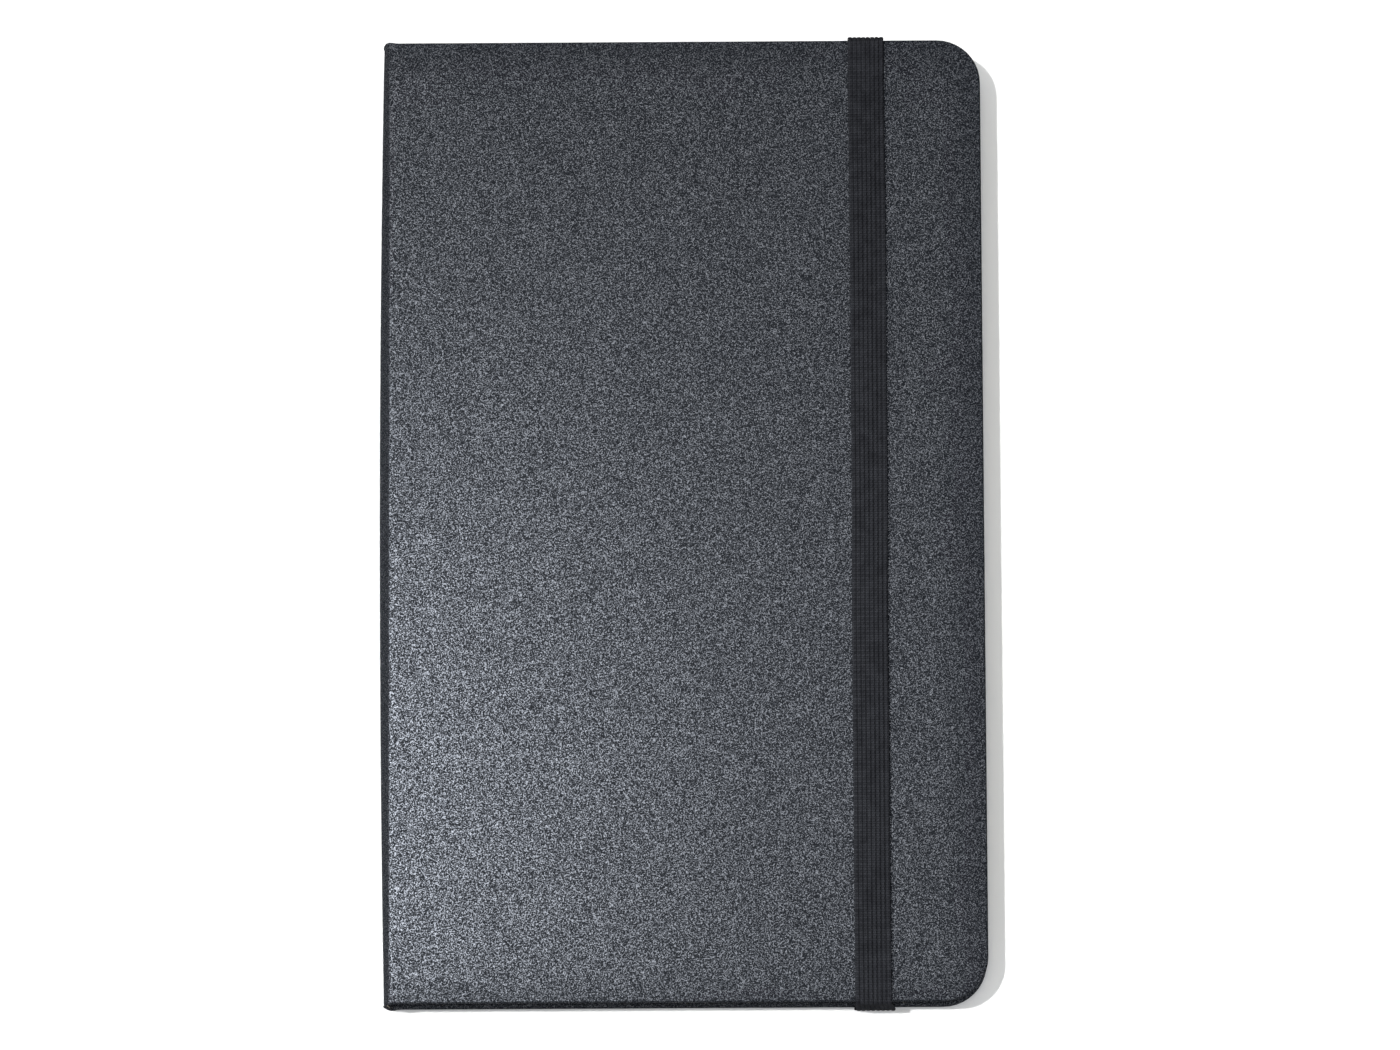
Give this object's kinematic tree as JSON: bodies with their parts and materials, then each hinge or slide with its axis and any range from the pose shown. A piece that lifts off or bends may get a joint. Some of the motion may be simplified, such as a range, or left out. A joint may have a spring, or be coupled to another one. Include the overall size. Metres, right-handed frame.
{
  "type": "sketchbook",
  "caption": "Closed hardcover sketchbook with square spine, rounded fore-edge corners, sewn page block, rear pocket and an elastic closure band; opens flat at its middle.",
  "frame": {"origin": "middle of the back cover's outer face, on the surface the closed book lies on", "axes": "+X from the spine to the fore-edge, +Y from tail to head, +Z out of the front cover"},
  "size_m": [0.13, 0.2118, 0.0158],
  "materials": {
    "cover_leatherette": "fine pebble grain, satin",
    "grey_board": "dull",
    "endpaper": "matt",
    "page_paper": "matt, light tooth",
    "liner_card": "dull",
    "pocket_card": "matt",
    "gusset_cloth": "plain weave, matt",
    "lining_cloth": "open weave, matt",
    "elastic": "ribbed, matt",
    "sewing_thread": "waxed"
  },
  "bodies": {
    "back_cover": {"back_board": "grey_board", "back_cover_skin": "cover_leatherette", "back_pastedown": "endpaper", "pocket_folder": "pocket_card", "pocket_gusset_head": "gusset_cloth", "pocket_gusset_tail": "gusset_cloth", "band_end_head": "elastic", "band_end_tail": "elastic", "spine_lining_rear": "lining_cloth"},
    "spine": {"spine_liner": "liner_card", "spine_skin": "cover_leatherette"},
    "front_cover": {"front_board": "grey_board", "front_cover_skin": "cover_leatherette", "front_pastedown": "endpaper", "spine_lining_front": "lining_cloth"},
    "elastic_band": {"elastic_band": "elastic"},
    "rear_endpaper": {"back_flyleaf": "endpaper"},
    "gathering_01": {"signature_01": "page_paper", "sewing_thread_01": "sewing_thread"},
    "gathering_02": {"signature_02": "page_paper", "sewing_thread_02": "sewing_thread"},
    "gathering_03": {"signature_03": "page_paper", "sewing_thread_03": "sewing_thread"},
    "gathering_04": {"signature_04": "page_paper", "sewing_thread_04": "sewing_thread"},
    "gathering_05": {"signature_05": "page_paper", "sewing_thread_05": "sewing_thread"},
    "gathering_06": {"signature_06": "page_paper", "sewing_thread_06": "sewing_thread"},
    "gathering_07": {"signature_07": "page_paper", "sewing_thread_07": "sewing_thread"},
    "gathering_08": {"signature_08": "page_paper", "sewing_thread_08": "sewing_thread"},
    "gathering_09": {"signature_09": "page_paper", "sewing_thread_09": "sewing_thread"},
    "gathering_10": {"signature_10": "page_paper", "sewing_thread_10": "sewing_thread"},
    "gathering_11": {"signature_11": "page_paper", "sewing_thread_11": "sewing_thread"},
    "gathering_12": {"signature_12": "page_paper", "sewing_thread_12": "sewing_thread"},
    "front_endpaper": {"front_flyleaf": "endpaper"}
  },
  "joints": [
    {"name": "spine_hinge", "type": "hinge", "parent": "back_cover", "child": "spine", "pos_m": [-0.06445, 0, 0.001], "axis": [0, -1, 0], "range_deg": [0, 90]},
    {"name": "front_cover_hinge", "type": "hinge", "parent": "spine", "child": "front_cover", "pos_m": [-0.06445, 0, 0.01396], "axis": [0, -1, 0], "range_deg": [0, 90], "deforming": ["elastic_band", "spine_lining_rear", "spine_lining_front"]},
    {"name": "band_slip", "type": "slide", "parent": "back_cover", "child": "elastic_band", "axis": [1, 0, 0], "range_m": [0, 0.03]},
    {"name": "rear_endpaper_shift", "type": "slide", "parent": "back_cover", "child": "rear_endpaper", "axis": [-1, 0, 0], "range_m": [0, 0.00239]},
    {"name": "gathering_01_shift", "type": "slide", "parent": "back_cover", "child": "gathering_01", "axis": [-1, 0, 0], "range_m": [0, 0.00292]},
    {"name": "gathering_02_shift", "type": "slide", "parent": "back_cover", "child": "gathering_02", "axis": [-1, 0, 0], "range_m": [0, 0.00378]},
    {"name": "gathering_03_shift", "type": "slide", "parent": "back_cover", "child": "gathering_03", "axis": [-1, 0, 0], "range_m": [0, 0.00463]},
    {"name": "gathering_04_shift", "type": "slide", "parent": "back_cover", "child": "gathering_04", "axis": [-1, 0, 0], "range_m": [0, 0.00549]},
    {"name": "gathering_05_shift", "type": "slide", "parent": "back_cover", "child": "gathering_05", "axis": [-1, 0, 0], "range_m": [0, 0.00635]},
    {"name": "gathering_06_shift", "type": "slide", "parent": "front_cover", "child": "gathering_06", "axis": [-1, 0, 0], "range_m": [0, 0.00705]},
    {"name": "gathering_07_shift", "type": "slide", "parent": "front_cover", "child": "gathering_07", "axis": [-1, 0, 0], "range_m": [0, 0.00619]},
    {"name": "gathering_08_shift", "type": "slide", "parent": "front_cover", "child": "gathering_08", "axis": [-1, 0, 0], "range_m": [0, 0.00534]},
    {"name": "gathering_09_shift", "type": "slide", "parent": "front_cover", "child": "gathering_09", "axis": [-1, 0, 0], "range_m": [0, 0.00448]},
    {"name": "gathering_10_shift", "type": "slide", "parent": "front_cover", "child": "gathering_10", "axis": [-1, 0, 0], "range_m": [0, 0.00362]},
    {"name": "gathering_11_shift", "type": "slide", "parent": "front_cover", "child": "gathering_11", "axis": [-1, 0, 0], "range_m": [0, 0.00276]},
    {"name": "gathering_12_shift", "type": "slide", "parent": "front_cover", "child": "gathering_12", "axis": [-1, 0, 0], "range_m": [0, 0.0019]},
    {"name": "front_endpaper_shift", "type": "slide", "parent": "front_cover", "child": "front_endpaper", "axis": [-1, 0, 0], "range_m": [0, 0.00138]}
  ],
  "couplings": [
    {"joint": "spine_hinge", "follows": "front_cover_hinge", "ratio": 1},
    {"joint": "rear_endpaper_shift", "follows": "front_cover_hinge", "m_per_rad": 0.00152},
    {"joint": "gathering_01_shift", "follows": "front_cover_hinge", "m_per_rad": 0.001856},
    {"joint": "gathering_02_shift", "follows": "front_cover_hinge", "m_per_rad": 0.002402},
    {"joint": "gathering_03_shift", "follows": "front_cover_hinge", "m_per_rad": 0.002948},
    {"joint": "gathering_04_shift", "follows": "front_cover_hinge", "m_per_rad": 0.003494},
    {"joint": "gathering_05_shift", "follows": "front_cover_hinge", "m_per_rad": 0.004041},
    {"joint": "gathering_06_shift", "follows": "front_cover_hinge", "m_per_rad": 0.004489},
    {"joint": "gathering_07_shift", "follows": "front_cover_hinge", "m_per_rad": 0.003943},
    {"joint": "gathering_08_shift", "follows": "front_cover_hinge", "m_per_rad": 0.003396},
    {"joint": "gathering_09_shift", "follows": "front_cover_hinge", "m_per_rad": 0.00285},
    {"joint": "gathering_10_shift", "follows": "front_cover_hinge", "m_per_rad": 0.002304},
    {"joint": "gathering_11_shift", "follows": "front_cover_hinge", "m_per_rad": 0.001758},
    {"joint": "gathering_12_shift", "follows": "front_cover_hinge", "m_per_rad": 0.001211},
    {"joint": "front_endpaper_shift", "follows": "front_cover_hinge", "m_per_rad": 0.000875}
  ]
}
